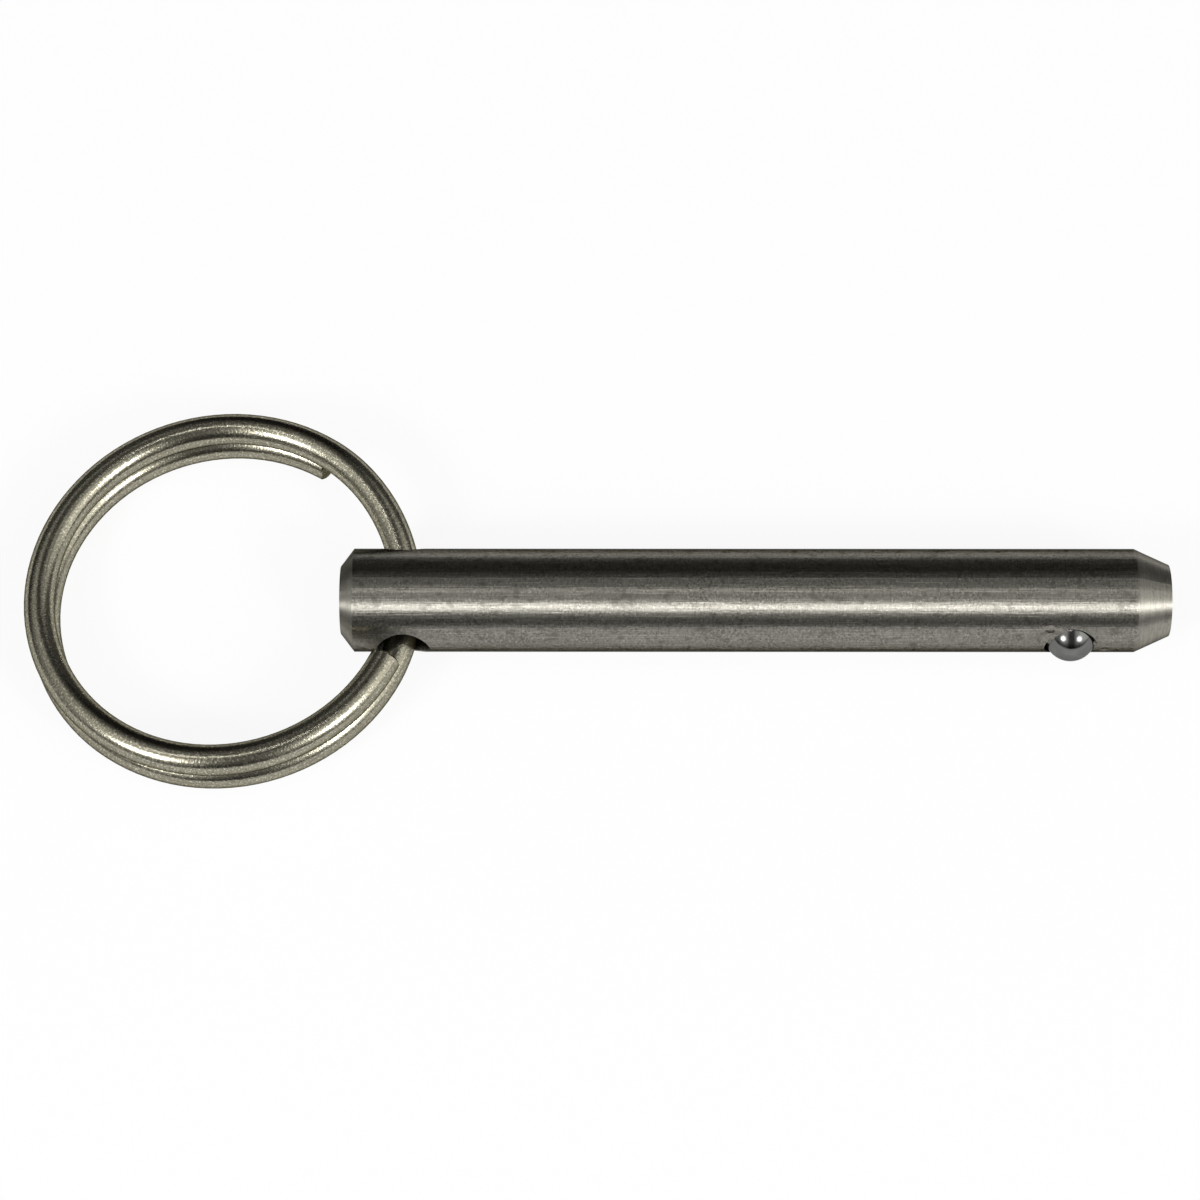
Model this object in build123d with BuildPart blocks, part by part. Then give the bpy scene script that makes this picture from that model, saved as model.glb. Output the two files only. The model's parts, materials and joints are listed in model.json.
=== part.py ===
from build123d import *
from math import asin, atan, cos, degrees, radians, sin, sqrt, tan
import os

# Cotterless hitch pin: a solid steel shank with a split ring through one end and a spring-loaded
# ball near the other. It is modelled as it lies on a table. The origin is on the shank's axis, at
# the ring hole's edge nearer the ball, where the clear length starts. +X runs to the nose, +Z is up.

# ---------------------------------------------------------------- shank
shank_d = 6.35             # drawn bar, 1/4 in
usable_length = 37.88      # clear cylinder between the ring hole and the ball
ring_hole_setback = 3.87   # ring end's face to the middle of the ring hole
ball_to_nose = 6.1         # middle of the ball to the nose's face
end_face_d = 4.2           # flat left on the ring end
end_chamfer = 0.82         # length of the ring end's chamfer
nose_face_d = 4.4          # flat left on the nose
nose_length = 2.13         # length of the nose's lead-in taper
edge_break = 0.12          # radius on the turned corners
mouth_break = 0.08         # deburred edge of the ring hole's mouths

# ---------------------------------------------------------------- split ring
wire_d = 1.9               # ring wire
ring_inside_d = 20.7
coil_gap = 0.04            # between the two coils, which lie against each other
ring_start = 57            # angle of the lower coil's end, counted from the ring hole, in degrees
wire_end_gap = 0.75        # between the upper coil's end and the shank it stops in front of
step_margin = 1.5          # degrees between each coil's end and the step from one coil to the other
ring_slip = 0.4            # how far the ring has slid through its hole, towards the back
wire_end_straight = 0.3    # last bit of wire at each end, which the coiling tool leaves straight
wire_end_break = 0.1       # chamfer on the wire's cut ends
ring_hole_clearance = 0.6375  # around the wire, so that the bent wire passes the straight hole
wire_clearance = 0.08      # least gap left between the wire and the hole where it leans on it
wire_lean = 0.72           # share of the play that the wire takes towards the ring end
wire_drop = 0.85           # share of the play that the wire has dropped

# ---------------------------------------------------------------- detent
ball_d = 3.175             # 1/8 in bearing ball
ball_proud = 0.78          # how far the ball stands out of the shank
pocket_turn = 7.6          # degrees from the ring hole's axis up to the ball's, round the shank
ball_travel = 0.85         # how far it can be pressed in
pocket_clearance = 0.06    # around the ball in its drilled pocket
pocket_back_wall = 0.87    # steel left behind the drill point
drill_point_angle = 118
lip_clearance = 0.02       # between the ball and the lips staked over it
lip_start = 0.25           # height over the ball's middle where the lips begin
lip_reach = 0.45           # how far the lips are pushed in, before the ball shapes them
stake_angles = (-8, 130, 250)  # where the lips are driven in, around the ball from +X
stake_width = 1.5
punch_nose_d = 2.4         # round nose of the staking punch
punch_distance = 2.15      # ball's axis to each punch mark
punch_depth = 0.05

# ---------------------------------------------------------------- detent spring
spring_wire_d = 0.4
spring_pitch = 0.8         # between turns, with the ball out
spring_side_gap = 0.15     # between the spring and the pocket's wall
spring_end_gap = 0.01      # at the ball and at the drill point

# ---------------------------------------------------------------- worked-out sizes
shank_r = shank_d / 2
wire_r = wire_d / 2
ring_r = (ring_inside_d + wire_d) / 2
coil_pitch = wire_d + coil_gap
ball_r = ball_d / 2
ring_hole_r = wire_r + ring_hole_clearance
pocket_r = ball_r + pocket_clearance

ring_finish = -degrees(asin((shank_r + ring_slip + wire_end_gap) / (ring_inside_d / 2)))
step_start = ring_finish - step_margin
step_finish = ring_start - step_margin

ball_seat = shank_r + ball_proud - ball_r
ball_cap_r = sqrt(ball_r**2 - (shank_r - ball_seat) ** 2)
ring_hole_x = -ring_hole_r
ring_end_x = ring_hole_x - ring_hole_setback
ball_x = usable_length + ball_cap_r
nose_x = ball_x + ball_to_nose


def climb(angle):
    """Height of the wire's middle over the lower coil, at an angle within the step."""
    share = (angle - step_start) / (step_finish - step_start)
    return coil_pitch * (3 * share**2 - 2 * share**3)


# The shank has rolled until its cross hole lines up with the climbing wire inside it.
front_mouth = -degrees(asin((shank_r + ring_slip) / ring_r))
back_mouth = degrees(asin((shank_r - ring_slip) / ring_r))
middle = -degrees(asin(ring_slip / ring_r))
hole_dip = degrees(atan((climb(back_mouth) - climb(front_mouth)) / shank_d))

# The wire bows inside the straight hole. It leans on the wall at the front mouth and on the floor.
wire_play = ring_hole_clearance - wire_clearance
wire_bow = ring_r * (1 - cos(radians(front_mouth)))
apex_x = ring_hole_x + wire_bow - wire_lean * wire_play
wire_height = -wire_drop * wire_play

# The ring hangs from the hole and touches the table at its far side.
table_z = -shank_r
ring_slope = degrees(asin((wire_height - climb(middle) - table_z - wire_r) / (2 * ring_r)))
ring_centre = Vector(
    apex_x - ring_r * cos(radians(ring_slope)),
    ring_slip,
    table_z + wire_r + ring_r * sin(radians(ring_slope)),
)
ring_plane = Plane(
    origin=ring_centre,
    x_dir=(cos(radians(ring_slope)), 0, sin(radians(ring_slope))),
    z_dir=(-sin(radians(ring_slope)), 0, cos(radians(ring_slope))),
)

# Both holes open on the -Y side: front and ball_front point out of their mouths.
pocket_dip = hole_dip - pocket_turn
front = Vector(0, -cos(radians(hole_dip)), -sin(radians(hole_dip)))
ball_front = Vector(0, -cos(radians(pocket_dip)), -sin(radians(pocket_dip)))
ring_hole_plane = Plane(origin=(ring_hole_x, 0, 0), x_dir=(1, 0, 0), z_dir=front)
ball_plane = Plane(origin=(ball_x, 0, 0), x_dir=(1, 0, 0), z_dir=ball_front)
ball_section = Plane(origin=(ball_x, 0, 0), x_dir=(1, 0, 0), z_dir=Vector(1, 0, 0).cross(ball_front))
ball_axis = Axis((ball_x, 0, 0), ball_front)
ball_middle = ball_plane.from_local_coords((0, 0, ball_seat))

# Pocket depths are heights along the ball's axis, from the shank's axis outwards.
drill_slope = tan(radians(90 - drill_point_angle / 2))
pocket_tip = pocket_back_wall - shank_r
pocket_floor = pocket_tip + pocket_r * drill_slope

spring_wire_r = spring_wire_d / 2
spring_r = pocket_r - spring_side_gap - spring_wire_r
spring_reach = sqrt((ball_r + spring_wire_r + spring_end_gap) ** 2 - spring_r**2)
spring_top = ball_seat - spring_reach
cone_lift = (spring_wire_r + spring_end_gap) * sqrt(1 + drill_slope**2)
spring_base = pocket_floor - (pocket_r - spring_r) * drill_slope + cone_lift


# ---------------------------------------------------------------- ball pocket, cut from the shank
with BuildPart() as ball_pocket:
    with BuildSketch(ball_section):
        with BuildLine():
            Polyline(
                (0, pocket_tip),
                (pocket_r, pocket_floor),
                (pocket_r, shank_d),
                (0, shank_d),
                close=True,
            )
        make_face()
    revolve(axis=ball_axis)
    # the staked lips are metal pushed into the pocket's mouth
    with BuildSketch(ball_plane.offset(ball_seat + lip_start)):
        for stake_angle in stake_angles:
            with PolarLocations(pocket_r, 1, start_angle=stake_angle):
                Rectangle(2 * lip_reach, stake_width)
    extrude(amount=shank_d, mode=Mode.SUBTRACT)
    # the ball keeps its room under the lips
    with Locations(ball_middle):
        Sphere(ball_r + lip_clearance)

# ---------------------------------------------------------------- shank
with BuildPart() as shank:
    with BuildSketch(Plane.XZ) as shank_profile:
        with BuildLine():
            Polyline(
                (ring_end_x, 0),
                (ring_end_x, end_face_d / 2),
                (ring_end_x + end_chamfer, shank_r),
                (nose_x - nose_length, shank_r),
                (nose_x, nose_face_d / 2),
                (nose_x, 0),
                close=True,
            )
        make_face()
        turned_corners = [v for v in shank_profile.vertices() if v.Z > edge_break]
        fillet(turned_corners, radius=edge_break)
    revolve(axis=Axis.X)
    with BuildSketch(ring_hole_plane):
        Circle(ring_hole_r)
    extrude(amount=shank_d, both=True, mode=Mode.SUBTRACT)
    mouth_edges = shank.edges().filter_by(GeomType.BSPLINE)
    chamfer(mouth_edges, mouth_break)
    add(ball_pocket.part, mode=Mode.SUBTRACT)
    # each lip was driven in by a round-nosed punch, which left its mark beside the mouth
    for stake_angle in stake_angles:
        along = punch_distance * cos(radians(stake_angle))
        around = punch_distance * sin(radians(stake_angle))
        punch_height = shank_r + punch_nose_d / 2 - punch_depth
        punch_turn = asin(around / shank_r)
        punch_middle = (along, punch_height * sin(punch_turn), punch_height * cos(punch_turn))
        with Locations(ball_plane.from_local_coords(punch_middle)):
            Sphere(punch_nose_d / 2, mode=Mode.SUBTRACT)
shank.part.label = "shank"

# ---------------------------------------------------------------- detent ball
with BuildPart() as detent_ball:
    with Locations(ball_middle):
        Sphere(ball_r)
detent_ball.part.label = "detent_ball"

# ---------------------------------------------------------------- detent spring
with BuildPart() as detent_spring:
    spring_height = spring_top - spring_base
    with BuildLine() as spring_coil:
        Helix(
            pitch=spring_pitch,
            height=spring_height,
            radius=spring_r,
            center=ball_plane.from_local_coords((0, 0, spring_base)),
            direction=ball_front,
        )
    with BuildSketch(Plane(origin=spring_coil.line @ 0, z_dir=spring_coil.line % 0)):
        Circle(spring_wire_r)
    sweep(is_frenet=True)
detent_spring.part.label = "detent_spring"

# ---------------------------------------------------------------- split ring
def on_ring(angle, height, ahead=0.0):
    """A point on the wire's middle line, or a distance ahead of it on its tangent, in the ring's plane."""
    turn = radians(angle)
    return (ring_r * cos(turn) - ahead * sin(turn), ring_r * sin(turn) + ahead * cos(turn), height)


# a Bezier curve with these handles follows the ring's circle while it climbs
step_handle = 4 / 3 * tan(radians(step_finish - step_start) / 4) * ring_r
end_turn = degrees(wire_end_straight / ring_r)
coil_start = ring_start + end_turn
coil_finish = ring_finish - end_turn
with BuildPart() as split_ring:
    with BuildLine(ring_plane) as ring_coil:
        Line(on_ring(coil_start, 0, -wire_end_straight), on_ring(coil_start, 0))
        CenterArc((0, 0, 0), ring_r, coil_start, 360 + step_start - coil_start)
        Bezier(
            on_ring(step_start, 0),
            on_ring(step_start, 0, step_handle),
            on_ring(step_finish, coil_pitch, -step_handle),
            on_ring(step_finish, coil_pitch),
        )
        CenterArc((0, 0, coil_pitch), ring_r, step_finish, 360 + coil_finish - step_finish)
        Line(on_ring(coil_finish, coil_pitch), on_ring(coil_finish, coil_pitch, wire_end_straight))
    with BuildSketch(Plane(origin=ring_coil.line @ 0, z_dir=ring_coil.line % 0)):
        Circle(wire_r)
    sweep()
    cut_ends = split_ring.faces().filter_by(GeomType.PLANE)
    chamfer(cut_ends.edges(), wire_end_break)
split_ring.part.label = "split_ring"

os.makedirs("parts", exist_ok=True)
for piece in (shank, detent_ball, detent_spring, split_ring):
    export_step(piece.part, f"parts/{piece.part.label}.step")
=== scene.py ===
import json
import math

import bmesh
import bpy
from bpy.props import FloatProperty, FloatVectorProperty, PointerProperty
from mathutils import Matrix, Vector


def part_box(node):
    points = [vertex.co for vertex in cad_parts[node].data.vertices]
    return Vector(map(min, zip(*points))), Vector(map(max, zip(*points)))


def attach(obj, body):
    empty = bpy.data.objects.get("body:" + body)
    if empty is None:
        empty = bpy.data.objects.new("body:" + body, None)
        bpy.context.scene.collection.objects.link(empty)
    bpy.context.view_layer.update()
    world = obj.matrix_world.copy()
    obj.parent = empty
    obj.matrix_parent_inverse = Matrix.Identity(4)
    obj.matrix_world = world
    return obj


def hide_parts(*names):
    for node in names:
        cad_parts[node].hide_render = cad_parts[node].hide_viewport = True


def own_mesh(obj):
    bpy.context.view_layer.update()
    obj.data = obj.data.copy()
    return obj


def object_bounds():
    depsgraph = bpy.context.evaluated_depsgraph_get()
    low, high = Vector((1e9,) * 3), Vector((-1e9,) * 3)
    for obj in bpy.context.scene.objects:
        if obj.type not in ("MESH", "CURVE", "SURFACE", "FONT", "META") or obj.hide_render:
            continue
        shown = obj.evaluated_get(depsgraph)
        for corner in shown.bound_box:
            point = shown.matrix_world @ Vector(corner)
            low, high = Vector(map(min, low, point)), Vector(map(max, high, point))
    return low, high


bl_info = {
    "name": "Cotterless hitch pin",
    "version": (1, 0, 0),
    "blender": (4, 5, 0),
    "location": "View3D > Sidebar > Hitch Pin",
    "description": "Finishes the shank, ring, ball and spring of a hitch pin, and sets its stage",
    "category": "Object",
}

MM = 0.001

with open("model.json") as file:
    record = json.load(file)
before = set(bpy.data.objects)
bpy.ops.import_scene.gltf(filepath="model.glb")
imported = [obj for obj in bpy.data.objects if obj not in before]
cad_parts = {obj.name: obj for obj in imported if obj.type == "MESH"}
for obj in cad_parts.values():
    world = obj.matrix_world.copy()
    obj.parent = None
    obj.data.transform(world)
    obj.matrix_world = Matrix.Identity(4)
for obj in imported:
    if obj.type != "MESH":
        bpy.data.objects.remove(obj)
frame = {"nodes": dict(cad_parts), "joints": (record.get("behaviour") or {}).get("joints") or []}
cad_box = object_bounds()

shank_low, shank_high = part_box("shank")
ball_low, ball_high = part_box("detent_ball")
ring_low, ring_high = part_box("split_ring")
ring_middle = (ring_low + ring_high) / 2
shank_radius = (shank_high.z - shank_low.z) / 2
ball_middle = (ball_low + ball_high) / 2
ball_radius = (ball_high.z - ball_low.z) / 2
ball_press = next(j for j in frame["joints"] if j["name"] == "ball_press")
ball_inward = Vector(ball_press["axis"])
pocket_end = Vector(ball_press["deforming_nodes"][0]["fixed_end_m"])


# ---------------------------------------------------------------- settings
class ShankSettings(bpy.types.PropertyGroup):
    """Finish of the drawn and ground shank"""

    colour: FloatVectorProperty(
        name="Steel", description="Colour of the ground steel", subtype="COLOR",
        min=0.0, max=1.0, default=(0.246, 0.237, 0.209),
    )
    stain: FloatVectorProperty(
        name="Stain", description="Colour of the dark specks and pits", subtype="COLOR",
        min=0.0, max=1.0, default=(0.066, 0.060, 0.048),
    )
    bright: FloatVectorProperty(
        name="Bright grains", description="Colour of the bright specks and turned ends", subtype="COLOR",
        min=0.0, max=1.0, default=(0.55, 0.525, 0.465),
    )
    roughness: FloatProperty(
        name="Roughness", description="Spread of the ground surface's reflections", subtype="FACTOR",
        min=0.0, max=1.0, default=0.35,
    )
    nose_taper: FloatProperty(
        name="Nose taper", description="Length of the turned taper at the nose", unit="LENGTH",
        default=2.13 * MM,
    )
    end_chamfer: FloatProperty(
        name="End chamfer", description="Length of the turned chamfer at the ring end", unit="LENGTH",
        default=0.82 * MM,
    )


class RingSettings(bpy.types.PropertyGroup):
    """Finish of the plated ring wire"""

    colour: FloatVectorProperty(
        name="Plating", description="Colour of the plated wire", subtype="COLOR",
        min=0.0, max=1.0, default=(0.315, 0.298, 0.232),
    )
    # the dull plating colour is also used as painted shade on the wire's cut end faces
    shade: FloatVectorProperty(
        name="Dull plating", description="Colour where the plating is dull", subtype="COLOR",
        min=0.0, max=1.0, default=(0.09, 0.083, 0.06),
    )
    roughness: FloatProperty(
        name="Roughness", description="Spread of the frosted wire's reflections", subtype="FACTOR",
        min=0.0, max=1.0, default=0.21,
    )
    slope: FloatProperty(
        name="Slope", description="Tilt of the ring's plane, up from its far side to the shank",
        subtype="ANGLE", default=math.radians(3.6),
    )


class BallSettings(bpy.types.PropertyGroup):
    """Finish of the polished detent ball"""

    colour: FloatVectorProperty(
        name="Polished steel", description="Colour of the polished ball", subtype="COLOR",
        min=0.0, max=1.0, default=(0.185, 0.183, 0.177),
    )
    roughness: FloatProperty(
        name="Roughness", description="Spread of the ball's reflections", subtype="FACTOR",
        min=0.0, max=1.0, default=0.12,
    )


class SpringSettings(bpy.types.PropertyGroup):
    """Sizes and finish of the spring behind the ball"""

    wire: FloatProperty(
        name="Wire", description="Diameter of the spring's wire", unit="LENGTH", default=0.4 * MM,
    )
    coil_radius: FloatProperty(
        name="Coil radius", description="Spring's axis to the middle of its wire", unit="LENGTH",
        default=1.3 * MM,
    )
    turns: FloatProperty(
        name="Turns", description="Open turns between the two closed ends", min=1.0, default=2.0,
    )
    colour: FloatVectorProperty(
        name="Spring wire", description="Colour of the drawn spring wire", subtype="COLOR",
        min=0.0, max=1.0, default=(0.37, 0.36, 0.335),
    )


class StageSettings(bpy.types.PropertyGroup):
    """Floor and studio light"""

    floor_colour: FloatVectorProperty(
        name="Floor", description="Colour of the plain floor", subtype="COLOR",
        min=0.0, max=1.0, default=(0.90, 0.90, 0.90),
    )
    floor_glow: FloatProperty(
        name="Floor whiteness", description="Share of plain white in the floor that is seen",
        subtype="FACTOR", min=0.0, max=1.0, default=0.9,
    )
    softbox_level: FloatProperty(
        name="Softbox level", description="Brightness of the hot middle of each softbox",
        min=0.0, default=32.0,
    )
    softbox_rim: FloatProperty(
        name="Softbox rim level", description="Brightness of the rest of each softbox", min=0.0, default=4.2,
    )
    softbox_distance: FloatProperty(
        name="Softbox distance", description="From the pin to each softbox", unit="LENGTH", default=0.6,
    )
    softbox_size: FloatProperty(
        name="Softbox size", description="Diameter of each softbox", unit="LENGTH", default=0.26,
    )
    hot_middle: FloatProperty(
        name="Hot middle", description="Diameter of the hot middle", unit="LENGTH", default=0.1,
    )
    strip_level: FloatProperty(
        name="Strip level", description="Brightness of the narrow light overhead", min=0.0, default=12.0,
    )


# ---------------------------------------------------------------- shader helpers
def node(tree, kind, **values):
    """A new node with the given settings."""
    made = tree.nodes.new(kind)
    for name, value in values.items():
        setattr(made, name, value)
    return made


def feed(tree, source, socket):
    """Links a socket, or sets a plain value, on an input."""
    if isinstance(source, bpy.types.NodeSocket):
        tree.links.new(source, socket)
    else:
        socket.default_value = source


def result(tree, operation, first, second=0.0, third=0.0):
    """What one step of arithmetic gives."""
    made = node(tree, "ShaderNodeMath", operation=operation)
    for source, socket in zip((first, second, third), made.inputs):
        feed(tree, source, socket)
    return made.outputs[0]


def ease(tree, value, low, high, to_low=0.0, to_high=1.0):
    """A smooth change from to_low to to_high while the value goes from low to high."""
    made = node(tree, "ShaderNodeMapRange", interpolation_type="SMOOTHSTEP")
    for source, socket in zip((value, low, high, to_low, to_high), made.inputs):
        feed(tree, source, socket)
    return made.outputs[0]


def mix_colours(tree, share, first, second):
    """The first colour at a share of 0, turning into the second at 1."""
    made = node(tree, "ShaderNodeMix", data_type="RGBA")
    feed(tree, share, made.inputs[0])
    # the node's inputs 6 and 7 are its colours A and B, and output 2 is the mixed colour
    for source, socket in zip((first, second), (made.inputs[6], made.inputs[7])):
        feed(tree, source if isinstance(source, bpy.types.NodeSocket) else (*source, 1.0), socket)
    return made.outputs[2]


def noise(tree, vector, scale, detail=2.0, roughness=0.5):
    """Soft random values around 0.5."""
    made = node(tree, "ShaderNodeTexNoise")
    feed(tree, vector, made.inputs["Vector"])
    feed(tree, scale, made.inputs["Scale"])
    feed(tree, detail, made.inputs["Detail"])
    made.inputs["Roughness"].default_value = roughness
    return made.outputs[0]


def millimetres(tree):
    """The place on the object, counted in millimetres."""
    place = node(tree, "ShaderNodeTexCoord")
    scaled = node(tree, "ShaderNodeVectorMath", operation="SCALE")
    tree.links.new(place.outputs["Object"], scaled.inputs[0])
    scaled.inputs["Scale"].default_value = 1 / MM
    return scaled.outputs[0]


def new_group(name, inputs, outputs):
    """An empty node group, with its input and output nodes."""
    group = bpy.data.node_groups.new(name, "ShaderNodeTree")
    for label, default in inputs:
        socket = group.interface.new_socket(name=label, in_out="INPUT", socket_type="NodeSocketFloat")
        socket.default_value = default
    for label in outputs:
        group.interface.new_socket(name=label, in_out="OUTPUT", socket_type="NodeSocketFloat")
    return group, group.nodes.new("NodeGroupInput"), group.nodes.new("NodeGroupOutput")


def grain_group():
    """Fine grain of bare metal, stronger in some patches than in others."""
    found = bpy.data.node_groups.get("metal_grain")
    if found:
        return found
    tree, given, out = new_group(
        "metal_grain",
        [("Grains per mm", 9.0), ("Detail", 3.0), ("Patches per mm", 0.6), ("Patchiness", 0.6)],
        ["Height", "Dark grains", "Bright grains"],
    )
    place = millimetres(tree)
    fine = noise(tree, place, given.outputs["Grains per mm"], given.outputs["Detail"], 0.65)
    patch = ease(tree, noise(tree, place, given.outputs["Patches per mm"], 2.0), 0.38, 0.64)
    kept = result(tree, "SUBTRACT", 1.0, given.outputs["Patchiness"])
    weight = result(tree, "MULTIPLY_ADD", patch, given.outputs["Patchiness"], kept)
    dark = result(tree, "MULTIPLY", ease(tree, fine, 0.47, 0.34), weight)
    bright = ease(tree, fine, 0.57, 0.70)
    tree.links.new(fine, out.inputs["Height"])
    tree.links.new(dark, out.inputs["Dark grains"])
    tree.links.new(bright, out.inputs["Bright grains"])
    return tree


def pit_group():
    """Scattered small pits."""
    found = bpy.data.node_groups.get("metal_pits")
    if found:
        return found
    tree, given, out = new_group(
        "metal_pits",
        [("Cells per mm", 1.2), ("Share of cells", 0.3), ("Radius", 0.12)],
        ["Pits"],
    )
    cells = node(tree, "ShaderNodeTexVoronoi", feature="F1")
    tree.links.new(millimetres(tree), cells.inputs["Vector"])
    tree.links.new(given.outputs["Cells per mm"], cells.inputs["Scale"])
    split = node(tree, "ShaderNodeSeparateColor")
    tree.links.new(cells.outputs["Color"], split.inputs[0])
    chosen = result(tree, "LESS_THAN", split.outputs[0], given.outputs["Share of cells"])
    size = result(tree, "MULTIPLY", given.outputs["Radius"], result(tree, "ADD", split.outputs[1], 0.35))
    inside = ease(tree, cells.outputs["Distance"], size, result(tree, "MULTIPLY", size, 0.35))
    tree.links.new(result(tree, "MULTIPLY", chosen, inside), out.inputs["Pits"])
    return tree


def place_group(tree, group, **values):
    """Puts a group into a tree, sets its inputs by name and gives its outputs."""
    made = node(tree, "ShaderNodeGroup", node_tree=group)
    for name, value in values.items():
        made.inputs[name.replace("_", " ")].default_value = value
    return made.outputs


def new_metal(name, roughness):
    """An empty metal material: its tree and its Principled node."""
    material = bpy.data.materials.new(name)
    material.use_nodes = True
    tree = material.node_tree
    shader = tree.nodes["Principled BSDF"]
    shader.inputs["Metallic"].default_value = 1.0
    shader.inputs["Roughness"].default_value = roughness
    return material, tree, shader


def raise_surface(tree, shader, height, depth):
    """Gives the lit surface a relief, which is the height times the depth."""
    bump = node(tree, "ShaderNodeBump")
    bump.inputs["Distance"].default_value = depth
    tree.links.new(height, bump.inputs["Height"])
    tree.links.new(bump.outputs["Normal"], shader.inputs["Normal"])


def dress(name, material):
    """Gives a frame node its finish."""
    for slot in frame["nodes"][name].material_slots:
        slot.material = material


# ---------------------------------------------------------------- finishes
def shank_steel(look):
    """Ground bar: fine marks round the shank, specks in patches, and brighter, coarser turned ends."""
    material, tree, shader = new_metal("ground_shank_steel", look.roughness)
    place = millimetres(tree)
    split = node(tree, "ShaderNodeSeparateXYZ")
    tree.links.new(place, split.inputs[0])
    along, side, up = split.outputs
    radius = result(tree, "SQRT", result(tree, "ADD", result(tree, "MULTIPLY", side, side),
                                         result(tree, "MULTIPLY", up, up)))
    turn = result(tree, "ARCTAN2", side, up)
    around = result(tree, "MULTIPLY", turn, shank_radius / MM)
    # a length along the bar that runs on across its end faces
    profile = result(tree, "SUBTRACT", along, radius)

    def streaks(along_per_mm, around_per_mm, detail, roughness):
        """Random marks, so many to a millimetre along the profile and around it."""
        spread = node(tree, "ShaderNodeCombineXYZ")
        feed(tree, result(tree, "MULTIPLY", profile, along_per_mm), spread.inputs[0])
        feed(tree, result(tree, "MULTIPLY", around, around_per_mm), spread.inputs[1])
        return noise(tree, spread.outputs[0], 1.0, detail, roughness)

    ground = streaks(9.0, 2.4, 2.0, 0.6)
    drawn = streaks(0.14, 12.0, 2.0, 0.6)
    turned = streaks(6.0, 0.5, 3.0, 0.65)
    blotch = noise(tree, place, 1.6, 3.0, 0.6)
    taper_start = (shank_high.x - look.nose_taper) / MM
    chamfer_start = (shank_low.x + look.end_chamfer) / MM
    nose = ease(tree, along, taper_start - 0.25, taper_start + 0.25)
    chamfer = ease(tree, along, chamfer_start + 0.1, chamfer_start - 0.1)
    ends = result(tree, "MAXIMUM", nose, chamfer)
    bar = result(tree, "SUBTRACT", 1.0, ends)

    grain = place_group(tree, grain_group(), Grains_per_mm=7.0, Detail=1.5,
                        Patches_per_mm=0.5, Patchiness=0.65)
    pits = place_group(tree, pit_group(), Cells_per_mm=0.5, Share_of_cells=0.07, Radius=0.1)

    lines = result(tree, "MULTIPLY", ease(tree, drawn, 0.55, 0.7), 0.5)
    shine = result(tree, "MAXIMUM", result(tree, "MULTIPLY", grain["Bright grains"], 0.45), lines)
    turned_shine = result(tree, "MULTIPLY", ease(tree, turned, 0.3, 0.7, 0.4, 0.85),
                          result(tree, "MULTIPLY_ADD", chamfer, 0.6, nose))
    shine = result(tree, "MAXIMUM", shine, turned_shine)
    steel = mix_colours(tree, shine, look.colour, look.bright)
    dark = result(tree, "MULTIPLY", grain["Dark grains"], result(tree, "MULTIPLY_ADD", bar, 0.35, 0.3))
    streak_dark = result(tree, "MULTIPLY", ease(tree, ground, 0.5, 0.3), result(tree, "MULTIPLY", bar, 0.45))
    smudge = result(tree, "MULTIPLY", ease(tree, blotch, 0.54, 0.68), result(tree, "MULTIPLY", bar, 0.5))
    stained = result(tree, "MAXIMUM", result(tree, "MAXIMUM", dark, streak_dark),
                     result(tree, "MAXIMUM", smudge, pits["Pits"]))
    tree.links.new(mix_colours(tree, stained, steel, look.stain), shader.inputs["Base Color"])

    rougher = look.roughness + 0.17
    tree.links.new(ease(tree, ends, 0.0, 1.0, look.roughness, rougher), shader.inputs["Roughness"])
    shader.inputs["Specular Tint"].default_value = (0.17, 0.17, 0.17, 1.0)
    shader.inputs["Anisotropic"].default_value = 1.0
    shader.inputs["Anisotropic Rotation"].default_value = 0.25
    tangent = node(tree, "ShaderNodeTangent", direction_type="RADIAL", axis="X")
    tree.links.new(tangent.outputs[0], shader.inputs["Tangent"])

    marks = result(tree, "MULTIPLY", turned, result(tree, "MULTIPLY", ends, 0.35))
    fine = result(tree, "MULTIPLY", result(tree, "MULTIPLY_ADD", drawn, 0.8, grain["Height"]), bar)
    height = result(tree, "SUBTRACT", result(tree, "ADD", marks, fine),
                    result(tree, "MULTIPLY", pits["Pits"], 1.5))
    raise_surface(tree, shader, height, 0.007 * MM)
    return material


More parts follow.
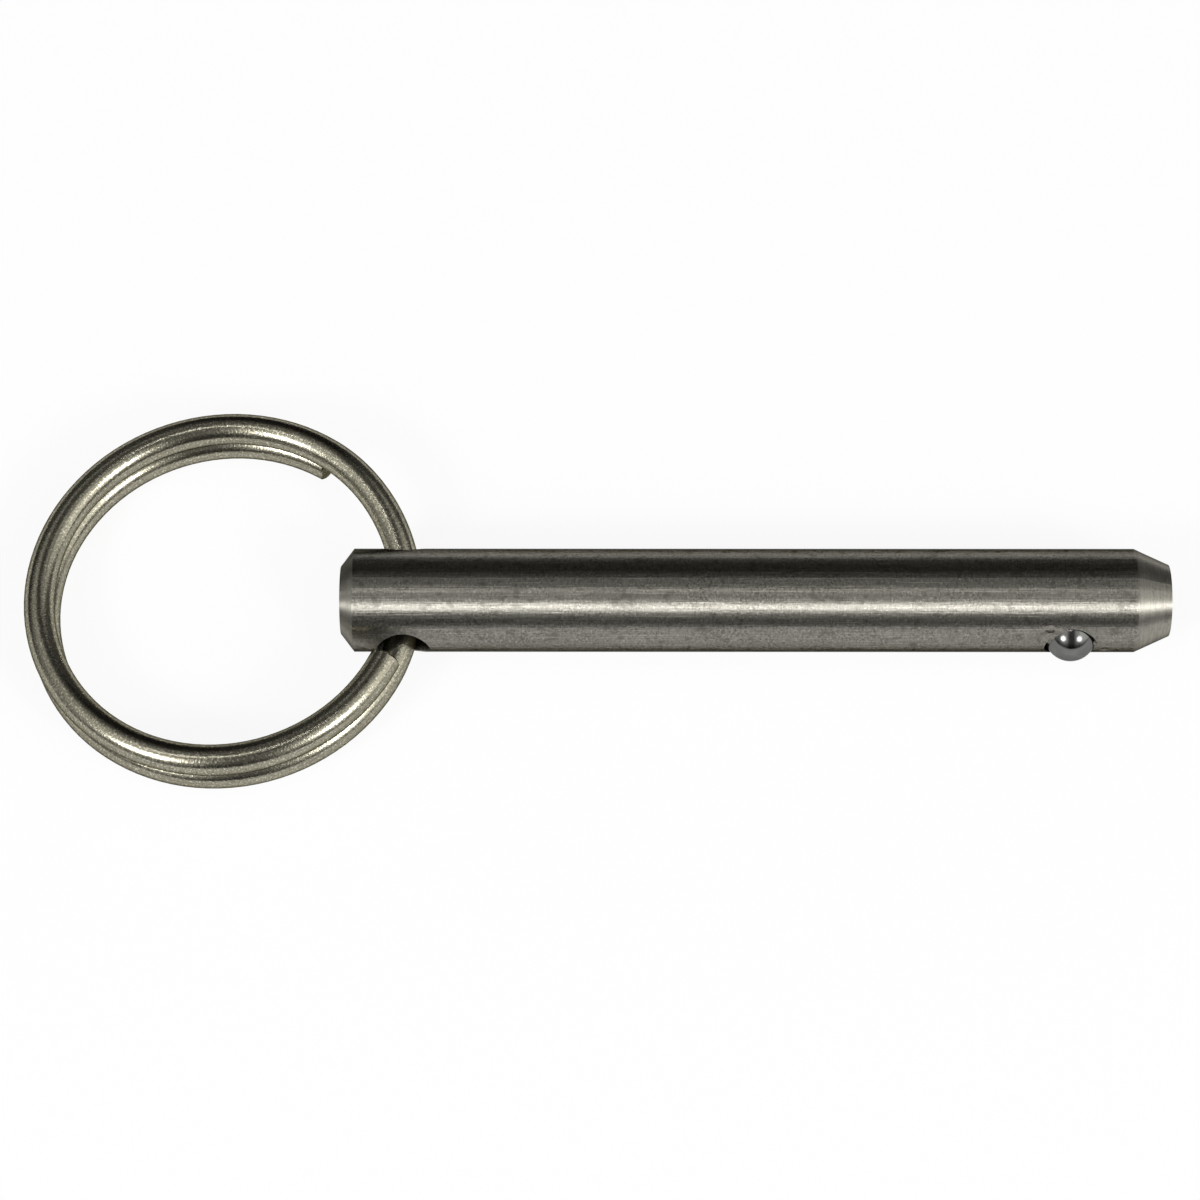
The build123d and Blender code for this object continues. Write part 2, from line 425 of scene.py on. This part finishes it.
def ring_plating(look):
    """Plated wire with a frosted, sparkling grain, faint drawn lines along it, and painted shade on its cut
    end faces.
    """
    material, tree, shader = new_metal("plated_ring_wire", look.roughness)
    # places in the ring's own plane, so that the drawn lines follow the wire
    level = node(tree, "ShaderNodeMapping", vector_type="TEXTURE")
    level.inputs["Location"].default_value = ring_middle / MM
    level.inputs["Rotation"].default_value = (0.0, -look.slope, 0.0)
    tree.links.new(millimetres(tree), level.inputs["Vector"])
    split = node(tree, "ShaderNodeSeparateXYZ")
    tree.links.new(level.outputs[0], split.inputs[0])
    first, second, height = split.outputs
    outward = result(tree, "SQRT", result(tree, "ADD", result(tree, "MULTIPLY", first, first),
                                          result(tree, "MULTIPLY", second, second)))
    round_ring = result(tree, "ARCTAN2", second, first)
    lie = node(tree, "ShaderNodeCombineXYZ")
    for source, scale, socket in ((outward, 13.0, 0), (height, 13.0, 1), (round_ring, 2.0, 2)):
        feed(tree, result(tree, "MULTIPLY", source, scale), lie.inputs[socket])
    drawn = noise(tree, lie.outputs[0], 1.0, 2.0, 0.5)

    grain = place_group(tree, grain_group(), Grains_per_mm=8.0, Detail=1.0,
                        Patches_per_mm=0.5, Patchiness=0.3)
    pits = place_group(tree, pit_group(), Cells_per_mm=0.8, Share_of_cells=0.2, Radius=0.09)
    bright = tuple(1.8 * share + 0.16 for share in look.colour)
    shine = result(tree, "MAXIMUM", result(tree, "MULTIPLY", grain["Bright grains"], 0.7),
                   result(tree, "MULTIPLY", ease(tree, drawn, 0.5, 0.72), 0.15))
    plating = mix_colours(tree, shine, look.colour, bright)
    dull = result(tree, "MAXIMUM", result(tree, "MULTIPLY", grain["Dark grains"], 0.5),
                  result(tree, "MULTIPLY", ease(tree, drawn, 0.46, 0.3), 0.45))
    dull = result(tree, "MAXIMUM", dull, result(tree, "MULTIPLY", pits["Pits"], 0.8))
    # painted shade: the wire's cut end faces, whose normal runs round the ring, are darkened towards the
    # dull colour
    facing = node(tree, "ShaderNodeSeparateXYZ")
    tree.links.new(node(tree, "ShaderNodeTexCoord").outputs["Normal"], facing.inputs[0])
    forward = result(tree, "SUBTRACT", result(tree, "MULTIPLY", facing.outputs[1], first),
                     result(tree, "MULTIPLY", facing.outputs[0], second))
    painted_end_shade = ease(tree, result(tree, "ABSOLUTE", result(tree, "DIVIDE", forward, outward)), 0.4, 0.8, 0.0, 0.5)
    dull = result(tree, "MAXIMUM", dull, painted_end_shade)
    tree.links.new(mix_colours(tree, dull, plating, look.shade), shader.inputs["Base Color"])
    shader.inputs["Specular Tint"].default_value = (0.15, 0.15, 0.15, 1.0)
    raise_surface(tree, shader, result(tree, "ADD", grain["Height"], result(tree, "MULTIPLY", drawn, 0.12)),
                  0.009 * MM)
    return material


def ball_polish(look):
    """Polished bearing steel with a faint clouding."""
    material, tree, shader = new_metal("polished_ball_steel", look.roughness)
    cloud = noise(tree, millimetres(tree), 1.4, 3.0)
    darker = tuple(0.8 * share for share in look.colour)
    tree.links.new(mix_colours(tree, ease(tree, cloud, 0.35, 0.7), darker, look.colour),
                   shader.inputs["Base Color"])
    shader.inputs["Specular Tint"].default_value = (0.5, 0.5, 0.5, 1.0)
    tree.links.new(ease(tree, cloud, 0.3, 0.7, look.roughness, look.roughness + 0.05),
                   shader.inputs["Roughness"])
    return material


def spring_wire_steel(look):
    """Drawn spring wire."""
    material, tree, shader = new_metal("drawn_spring_wire", 0.32)
    grain = place_group(tree, grain_group(), Grains_per_mm=12.0, Patches_per_mm=1.0, Patchiness=0.5)
    dull = result(tree, "MULTIPLY", grain["Dark grains"], 0.6)
    darker = tuple(0.4 * share for share in look.colour)
    tree.links.new(mix_colours(tree, dull, look.colour, darker), shader.inputs["Base Color"])
    raise_surface(tree, shader, grain["Height"], 0.006 * MM)
    return material


# ---------------------------------------------------------------- spring
def spring_line(sizes, height, steps_per_turn=28):
    """Middle line of a compression spring with closed ends, along +Z from its seat."""
    closed = 0.75
    turns = sizes.turns + 2 * closed
    lift = sizes.wire * 1.02
    open_rise = height - 2 * closed * lift
    points = []
    for step in range(int(turns * steps_per_turn) + 1):
        turn = min(step / steps_per_turn, turns)
        if turn < closed:
            rise = turn * lift
        elif turn > turns - closed:
            rise = height - (turns - turn) * lift
        else:
            rise = closed * lift + open_rise * (turn - closed) / sizes.turns
        angle = 2 * math.pi * turn
        radius = sizes.coil_radius
        points.append(Vector((radius * math.cos(angle), radius * math.sin(angle), rise)))
    return points


def wire_mesh(name, points, radius, sides=14):
    """A round wire along points, closed with flat ends."""
    mesh = bpy.data.meshes.new(name)
    shape = bmesh.new()
    rings = []
    for index, point in enumerate(points):
        ahead = points[min(index + 1, len(points) - 1)] - points[max(index - 1, 0)]
        across = ahead.cross(Vector((0, 0, 1))).normalized()
        upward = across.cross(ahead).normalized()
        rings.append([
            shape.verts.new(point + radius * (across * math.cos(turn) + upward * math.sin(turn)))
            for turn in (2 * math.pi * side / sides for side in range(sides))
        ])
    for near, far in zip(rings, rings[1:]):
        for side in range(sides):
            after = (side + 1) % sides
            shape.faces.new((near[side], near[after], far[after], far[side])).smooth = True
    shape.faces.new(rings[0])
    shape.faces.new(reversed(rings[-1]))
    bmesh.ops.recalc_face_normals(shape, faces=shape.faces)
    shape.to_mesh(mesh)
    shape.free()
    return mesh


# ---------------------------------------------------------------- operators
class HITCHPIN_OT_finish_shank(bpy.types.Operator):
    """Give the shank its ground and turned steel"""

    bl_idname = "hitchpin.finish_shank"
    bl_label = "Finish Shank"

    def execute(self, context):
        dress("shank", shank_steel(context.scene.hitchpin_shank))
        return {"FINISHED"}


class HITCHPIN_OT_finish_ring(bpy.types.Operator):
    """Give the split ring its frosted plating"""

    bl_idname = "hitchpin.finish_ring"
    bl_label = "Finish Split Ring"

    def execute(self, context):
        dress("split_ring", ring_plating(context.scene.hitchpin_ring))
        return {"FINISHED"}


class HITCHPIN_OT_finish_ball(bpy.types.Operator):
    """Give the detent ball its polish"""

    bl_idname = "hitchpin.finish_ball"
    bl_label = "Finish Ball"

    def execute(self, context):
        dress("detent_ball", ball_polish(context.scene.hitchpin_ball))
        return {"FINISHED"}


class HITCHPIN_OT_wind_spring(bpy.types.Operator):
    """Wind the spring that presses the ball outwards"""

    bl_idname = "hitchpin.wind_spring"
    bl_label = "Wind Spring"

    def execute(self, context):
        sizes = context.scene.hitchpin_spring
        wire_radius = sizes.wire / 2
        outward = -ball_inward
        ball_seat = (ball_middle - pocket_end).dot(outward)
        reach = math.sqrt((ball_radius + wire_radius) ** 2 - sizes.coil_radius ** 2)
        height = ball_seat - reach - wire_radius
        if height <= 3 * sizes.wire:
            raise RuntimeError("the spring's wire is too thick for the room behind the ball")
        mesh = wire_mesh("detent_coil", spring_line(sizes, height), wire_radius)
        seat = pocket_end + wire_radius * outward
        across = Vector((1, 0, 0))
        facing = Matrix((across, outward.cross(across), outward)).transposed().to_4x4()
        mesh.transform(Matrix.Translation(seat) @ facing)
        coil = bpy.data.objects.new("detent_coil", mesh)
        context.scene.collection.objects.link(coil)
        coil.data.materials.append(spring_wire_steel(sizes))
        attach(coil, "shank")
        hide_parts("detent_spring")
        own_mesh(coil)
        return {"FINISHED"}


class HITCHPIN_OT_set_stage(bpy.types.Operator):
    """Set the floor, the studio light and the camera"""

    bl_idname = "hitchpin.set_stage"
    bl_label = "Set Stage"

    def execute(self, context):
        look = context.scene.hitchpin_stage
        context.scene.view_settings.view_transform = "Standard"
        lay_floor(context, look)
        light_world(context)
        for name, towards in (("left", LEFT_SOFTBOX), ("right", RIGHT_SOFTBOX)):
            place_lamp(context, f"softbox_{name}", towards, look.softbox_distance,
                       (look.softbox_size, look.softbox_size), look.softbox_rim)
            place_lamp(context, f"hot_middle_{name}", towards, look.softbox_distance - HOT_MIDDLE_AHEAD,
                       (look.hot_middle, look.hot_middle), look.softbox_level)
        place_lamp(context, "strip_overhead", OVERHEAD_STRIP, look.softbox_distance,
                   STRIP_SIZE, look.strip_level)
        place_camera(context)
        return {"FINISHED"}


# ---------------------------------------------------------------- stage
LEFT_SOFTBOX = Vector((-0.60, -0.57, 0.64))      # directions from the pin
RIGHT_SOFTBOX = Vector((0.62, -0.575, 0.61))
OVERHEAD_STRIP = Vector((-0.12, -0.036, 0.6))
STRIP_SIZE = (0.34, 0.014)
LIT_PLACE = Vector((0.012, 0.0, 0.0))            # what the lamps are turned to
HOT_MIDDLE_AHEAD = 0.01                          # how far it stands in front of its softbox
SENSOR_WIDTH = 36.0                              # of the camera, in Blender's millimetres


def floor_mesh(level, sides=96):
    """A round table whose far rim turns up, so that low views don't look past it."""
    rims = ((2.0, 0.0), (2.3, 0.02), (2.6, 0.07))  # each rim's radius and its rise
    points = []
    for reach, rise in rims:
        for step in range(sides):
            turn = 2 * math.pi * step / sides
            points.append((reach * math.cos(turn), reach * math.sin(turn), level + rise))
    faces = [tuple(range(sides))]
    for first in range(0, sides * (len(rims) - 1), sides):
        for step in range(sides):
            after = (step + 1) % sides
            faces.append((first + step, first + after, first + sides + after, first + sides + step))
    mesh = bpy.data.meshes.new("floor")
    mesh.from_pydata(points, [], faces)
    return mesh


def floor_paint(look):
    """Pale paint that takes shadows, mixed with plain white where it is seen or mirrored."""
    material = bpy.data.materials.new("plain_floor")
    material.use_nodes = True
    tree = material.node_tree
    tree.nodes.clear()
    paint = node(tree, "ShaderNodeBsdfDiffuse")
    paint.inputs["Color"].default_value = (*look.floor_colour, 1.0)
    white = node(tree, "ShaderNodeEmission")
    white.inputs["Color"].default_value = (1.0, 1.0, 1.0, 1.0)
    white.inputs["Strength"].default_value = 1.0
    ray = node(tree, "ShaderNodeLightPath")
    mirrored = result(tree, "MAXIMUM", ray.outputs["Is Glossy Ray"], ray.outputs["Is Transmission Ray"])
    seen = result(tree, "MAXIMUM", ray.outputs["Is Camera Ray"], mirrored)
    blend = node(tree, "ShaderNodeMixShader")
    tree.links.new(result(tree, "MULTIPLY", seen, look.floor_glow), blend.inputs[0])
    tree.links.new(paint.outputs[0], blend.inputs[1])
    tree.links.new(white.outputs[0], blend.inputs[2])
    out = node(tree, "ShaderNodeOutputMaterial")
    tree.links.new(blend.outputs[0], out.inputs["Surface"])
    return material


def lay_floor(context, look):
    """Lays the floor at the height that the pin lies on."""
    mesh = floor_mesh(cad_box[0][2])
    mesh.materials.append(floor_paint(look))
    floor = bpy.data.objects.new("floor", mesh)
    context.scene.collection.objects.link(floor)


def light_world(context):
    """A dim studio: dark low in front, behind and over the middle, and paler high up to both sides."""
    world = bpy.data.worlds.new("studio")
    context.scene.world = world
    world.use_nodes = True
    tree = world.node_tree
    shade = tree.nodes["Background"]
    split = node(tree, "ShaderNodeSeparateXYZ")
    tree.links.new(node(tree, "ShaderNodeTexCoord").outputs["Generated"], split.inputs[0])
    forward = result(tree, "MULTIPLY", split.outputs[1], -1.0)
    over = result(tree, "DIVIDE", result(tree, "ARCTAN2", split.outputs[2], forward), math.pi)
    ramp = node(tree, "ShaderNodeValToRGB")
    tree.links.new(over, ramp.inputs[0])
    # degrees from the front horizon, over the top, to the back horizon, and the brightness there
    zones = [
        (0, 0.10), (12, 0.12), (24, 0.50), (40, 0.92), (62, 0.88), (82, 1.0), (92, 0.60),
        (126.5, 0.50), (129.0, 0.07), (180, 0.07),
    ]
    stops = ramp.color_ramp.elements
    while len(stops) < len(zones):
        stops.new(0.5)
    for stop, (angle, level) in zip(stops, zones):
        stop.position = angle / 180
        stop.color = (level, level, 0.97 * level, 1.0)
    tree.links.new(ramp.outputs[0], shade.inputs["Color"])
    aside = result(tree, "ABSOLUTE", split.outputs[0])
    sides = ease(tree, aside, 0.14, 0.4, 0.16, 1.06)
    nose_side = ease(tree, split.outputs[0], 0.5, 0.72, 0.0, 0.7)
    far_left = ease(tree, split.outputs[0], -0.64, -0.86, 1.0, 0.45)
    tree.links.new(result(tree, "MULTIPLY_ADD", sides, far_left, nose_side), shade.inputs["Strength"])


def place_lamp(context, name, towards, distance, size, level):
    """A round or long soft lamp that faces the pin, with a face of the given brightness."""
    lamp = bpy.data.lights.new(name, "AREA")
    round_face = size[0] == size[1]
    lamp.shape = "DISK" if round_face else "RECTANGLE"
    lamp.size = size[0]
    area = math.pi * size[0] ** 2 / 4
    if not round_face:
        lamp.size_y = size[1]
        area = size[0] * size[1]
    lamp.energy = math.pi * level * area
    holder = bpy.data.objects.new(name, lamp)
    away = towards.normalized()
    holder.location = LIT_PLACE + distance * away
    upright = away.cross(Vector((1.0, 0.0, 0.0))).normalized()
    holder.rotation_euler = Matrix((upright.cross(away), upright, away)).transposed().to_euler()
    context.scene.collection.objects.link(holder)


def place_camera(context):
    """The camera: above the pin's front side, with a long lens."""
    elevation = math.radians(64.3)
    yaw = math.radians(0.54)
    roll = 0.008
    distance = 258.25 * MM
    focal_over_width = 3.5
    aim = Vector((10.45, 0.02, 0.0)) * MM
    turn = Matrix.Rotation(yaw, 3, "Z")
    ahead = turn @ Vector((0.0, math.cos(elevation), -math.sin(elevation)))
    level = turn @ Vector((1.0, 0.0, 0.0))
    upright = level.cross(ahead)
    rightward = math.cos(roll) * level - math.sin(roll) * upright
    upward = math.sin(roll) * level + math.cos(roll) * upright
    lens = bpy.data.cameras.new("camera")
    lens.sensor_width = SENSOR_WIDTH
    lens.lens = SENSOR_WIDTH * focal_over_width
    lens.clip_start = 0.01
    lens.clip_end = 10.0
    camera = bpy.data.objects.new("camera", lens)
    pose = Matrix((rightward, upward, -ahead)).transposed().to_4x4()
    pose.translation = aim - distance * ahead
    camera.matrix_world = pose
    context.scene.collection.objects.link(camera)
    context.scene.camera = camera


# ---------------------------------------------------------------- panel
STEPS = ("finish_shank", "finish_ring", "finish_ball", "wind_spring", "set_stage")


class HITCHPIN_PT_steps(bpy.types.Panel):
    """Steps and settings of the hitch pin"""

    bl_idname = "HITCHPIN_PT_steps"
    bl_label = "Hitch Pin"
    bl_space_type = "VIEW_3D"
    bl_region_type = "UI"
    bl_category = "Hitch Pin"

    def draw(self, context):
        for settings in SETTINGS:
            owner = getattr(context.scene, settings)
            column = self.layout.column()
            for name in owner.bl_rna.properties.keys():
                if name not in ("rna_type", "name"):
                    column.prop(owner, name)
        for step in STEPS:
            self.layout.operator(f"hitchpin.{step}")


SETTINGS = {
    "hitchpin_shank": ShankSettings,
    "hitchpin_ring": RingSettings,
    "hitchpin_ball": BallSettings,
    "hitchpin_spring": SpringSettings,
    "hitchpin_stage": StageSettings,
}
CLASSES = (
    *SETTINGS.values(),
    HITCHPIN_OT_finish_shank,
    HITCHPIN_OT_finish_ring,
    HITCHPIN_OT_finish_ball,
    HITCHPIN_OT_wind_spring,
    HITCHPIN_OT_set_stage,
    HITCHPIN_PT_steps,
)


def register():
    for kind in CLASSES:
        bpy.utils.register_class(kind)
    for name, kind in SETTINGS.items():
        setattr(bpy.types.Scene, name, PointerProperty(type=kind))


def unregister():
    for name in SETTINGS:
        delattr(bpy.types.Scene, name)
    for kind in reversed(CLASSES):
        bpy.utils.unregister_class(kind)


def main():
    register()
    for step in STEPS:
        getattr(bpy.ops.hitchpin, step)()


if __name__ == "__main__":
    main()
